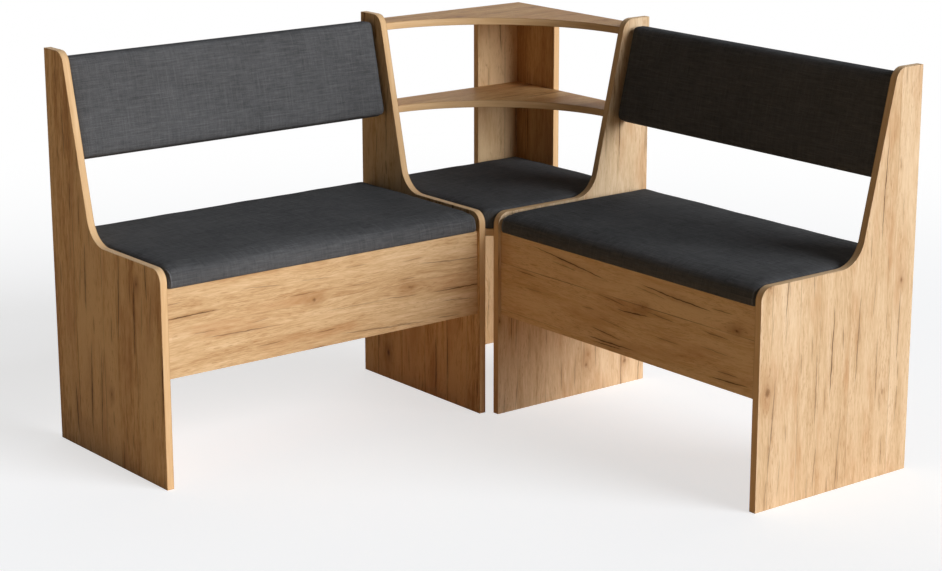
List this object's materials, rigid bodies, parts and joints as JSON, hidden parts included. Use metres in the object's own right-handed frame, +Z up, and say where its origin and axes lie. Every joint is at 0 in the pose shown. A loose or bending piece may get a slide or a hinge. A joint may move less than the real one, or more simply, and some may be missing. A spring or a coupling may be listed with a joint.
{
  "type": "corner bench",
  "caption": "Corner bench with oak-look board panels, padded lift-up seats over storage chests, leaning padded backrests, a corner seat and hollow-fronted corner shelves.",
  "frame": {"origin": "middle of the bounding box on the floor", "axes": "+Z up; the left arm runs along the +Y side towards -X, the right arm along the +X side towards -Y, and the room corner is at +X +Y"},
  "size_m": [1.272, 1.272, 0.85],
  "materials": {
    "oak_laminate": "matt printed oak grain",
    "plain_board": "bare particle board",
    "dowel_wood": "fluted beech",
    "upholstery_fabric": "woven charcoal",
    "pad_foam": "cut foam",
    "plated_steel": "zinc plated",
    "cast_zinc": "cast"
  },
  "bodies": {
    "bench": {"cam_bolts": "plated_steel", "cam_locks": "cast_zinc", "corner_seat_base": "oak_laminate", "corner_seat_board": "plain_board", "corner_seat_cover": "upholstery_fabric", "corner_seat_foam": "pad_foam", "left_apron": "oak_laminate", "left_back_board": "plain_board", "left_back_bracket_screws": "plated_steel", "left_back_brackets": "plated_steel", "left_back_cover": "upholstery_fabric", "left_back_foam": "pad_foam", "left_chest_floor": "oak_laminate", "left_end_panel": "oak_laminate", "left_hinge_pins": "plated_steel", "left_hinge_rail_leaves": "plated_steel", "left_hinge_rail_screws": "plated_steel", "left_inner_panel": "oak_laminate", "left_rear_rail": "oak_laminate", "middle_shelf": "oak_laminate", "post_left_board": "oak_laminate", "post_right_board": "oak_laminate", "post_screws": "plated_steel", "right_apron": "oak_laminate", "right_back_board": "plain_board", "right_back_bracket_screws": "plated_steel", "right_back_brackets": "plated_steel", "right_back_cover": "upholstery_fabric", "right_back_foam": "pad_foam", "right_chest_floor": "oak_laminate", "right_end_panel": "oak_laminate", "right_hinge_pins": "plated_steel", "right_hinge_rail_leaves": "plated_steel", "right_hinge_rail_screws": "plated_steel", "right_inner_panel": "oak_laminate", "right_rear_rail": "oak_laminate", "top_shelf": "oak_laminate", "wood_dowels": "dowel_wood"},
    "left_lid": {"left_seat_board": "plain_board", "left_seat_foam": "pad_foam", "left_seat_cover": "upholstery_fabric", "left_hinge_lid_leaves": "plated_steel", "left_hinge_lid_screws": "plated_steel"},
    "right_lid": {"right_seat_board": "plain_board", "right_seat_foam": "pad_foam", "right_seat_cover": "upholstery_fabric", "right_hinge_lid_leaves": "plated_steel", "right_hinge_lid_screws": "plated_steel"}
  },
  "joints": [
    {"name": "left_seat_lift", "type": "hinge", "parent": "bench", "child": "left_lid", "pos_m": [-0.224, 0.5699, 0.4141], "axis": [-1, 0, 0], "range_deg": [0, 66]},
    {"name": "right_seat_lift", "type": "hinge", "parent": "bench", "child": "right_lid", "pos_m": [0.5699, -0.224, 0.4141], "axis": [0, 1, 0], "range_deg": [0, 66]}
  ]
}
